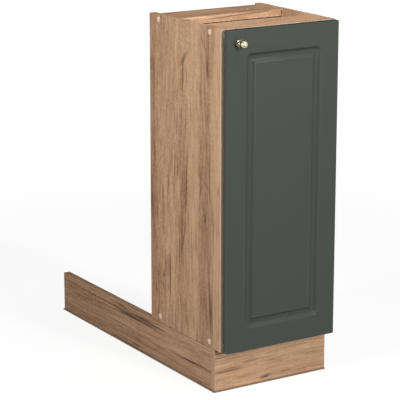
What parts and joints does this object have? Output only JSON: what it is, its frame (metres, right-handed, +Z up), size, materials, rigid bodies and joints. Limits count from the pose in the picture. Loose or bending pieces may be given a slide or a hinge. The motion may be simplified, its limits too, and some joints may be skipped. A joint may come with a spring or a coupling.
{
  "type": "kitchen base cabinet",
  "caption": "Narrow kitchen base cabinet with oak-look carcass, open railed top, grooved green door with brass knob, and plinth boards at front and side.",
  "frame": {"origin": "middle of the overall box, on the floor", "axes": "+X to the right seen from the door, +Y towards the back, +Z up"},
  "size_m": [0.3056, 0.78, 0.816],
  "materials": {
    "oak_board": "oak-look board, fine embossed grain, matt",
    "oak_edge": "pale oak-look edge band",
    "back_board": "thin hardboard with oak-look print",
    "door_paint": "dark grey-green foil on fibreboard, satin",
    "brass": "polished pale brass",
    "steel": "zinc plated",
    "nickel": "nickel plated pressed steel",
    "black_plastic": "moulded, matt",
    "cap_plastic": "moulded, beige",
    "seal_rubber": "soft extruded strip, dark brown",
    "dowel_wood": "beech, bare",
    "bumper_rubber": "soft, translucent grey"
  },
  "bodies": {
    "carcass": {"side_panel_left": "oak_board", "side_panel_right": "oak_board", "bottom_panel": "oak_board", "top_rail_front": "oak_board", "top_rail_rear": "oak_board", "shelf": "oak_board", "plinth_front": "oak_board", "plinth_left": "oak_board", "edge_band_left": "oak_edge", "edge_band_right": "oak_edge", "edge_band_rail": "oak_edge", "edge_band_bottom": "oak_edge", "edge_band_shelf": "oak_edge", "edge_band_plinth": "oak_edge", "back_panel": "back_board", "carcass_screws": "steel", "leg_screws": "steel", "plinth_clip_screws": "steel", "plinth_bracket": "steel", "plinth_bracket_screws": "steel", "hinge_plate_screws": "steel", "hinge_lock_screws": "steel", "shelf_pins": "steel", "hinge_arm_upper": "nickel", "hinge_arm_lower": "nickel", "hinge_plate_upper": "nickel", "hinge_plate_lower": "nickel", "leg_socket_front_left": "black_plastic", "leg_socket_front_right": "black_plastic", "leg_socket_rear_left": "black_plastic", "leg_socket_rear_right": "black_plastic", "leg_tube_front_left": "black_plastic", "leg_tube_front_right": "black_plastic", "leg_tube_rear_left": "black_plastic", "leg_tube_rear_right": "black_plastic", "plinth_clip_front_left": "black_plastic", "plinth_clip_front_right": "black_plastic", "plinth_clip_side_front": "black_plastic", "plinth_clip_side_rear": "black_plastic", "screw_caps": "cap_plastic", "plinth_seal_front": "seal_rubber", "plinth_seal_left": "seal_rubber", "dowels": "dowel_wood"},
    "door": {"door_panel": "door_paint", "door_bumpers": "bumper_rubber", "knob": "brass", "knob_screw": "steel", "hinge_cup_upper": "nickel", "hinge_cup_lower": "nickel", "hinge_pin_upper": "nickel", "hinge_pin_lower": "nickel", "hinge_cup_screws": "steel"},
    "foot_front_left": {"foot_front_left": "black_plastic"},
    "foot_front_right": {"foot_front_right": "black_plastic"},
    "foot_rear_left": {"foot_rear_left": "black_plastic"},
    "foot_rear_right": {"foot_rear_right": "black_plastic"}
  },
  "joints": [
    {"name": "door_swing", "type": "hinge", "parent": "carcass", "child": "door", "pos_m": [0.13825, -0.3535, 0.45705], "axis": [0, 0, 1], "range_deg": [0, 100]},
    {"name": "foot_front_left_screw", "type": "slide", "parent": "carcass", "child": "foot_front_left", "axis": [0, 0, 1], "range_m": [0, 0.01]},
    {"name": "foot_front_right_screw", "type": "slide", "parent": "carcass", "child": "foot_front_right", "axis": [0, 0, 1], "range_m": [0, 0.01]},
    {"name": "foot_rear_left_screw", "type": "slide", "parent": "carcass", "child": "foot_rear_left", "axis": [0, 0, 1], "range_m": [0, 0.01]},
    {"name": "foot_rear_right_screw", "type": "slide", "parent": "carcass", "child": "foot_rear_right", "axis": [0, 0, 1], "range_m": [0, 0.01]}
  ]
}
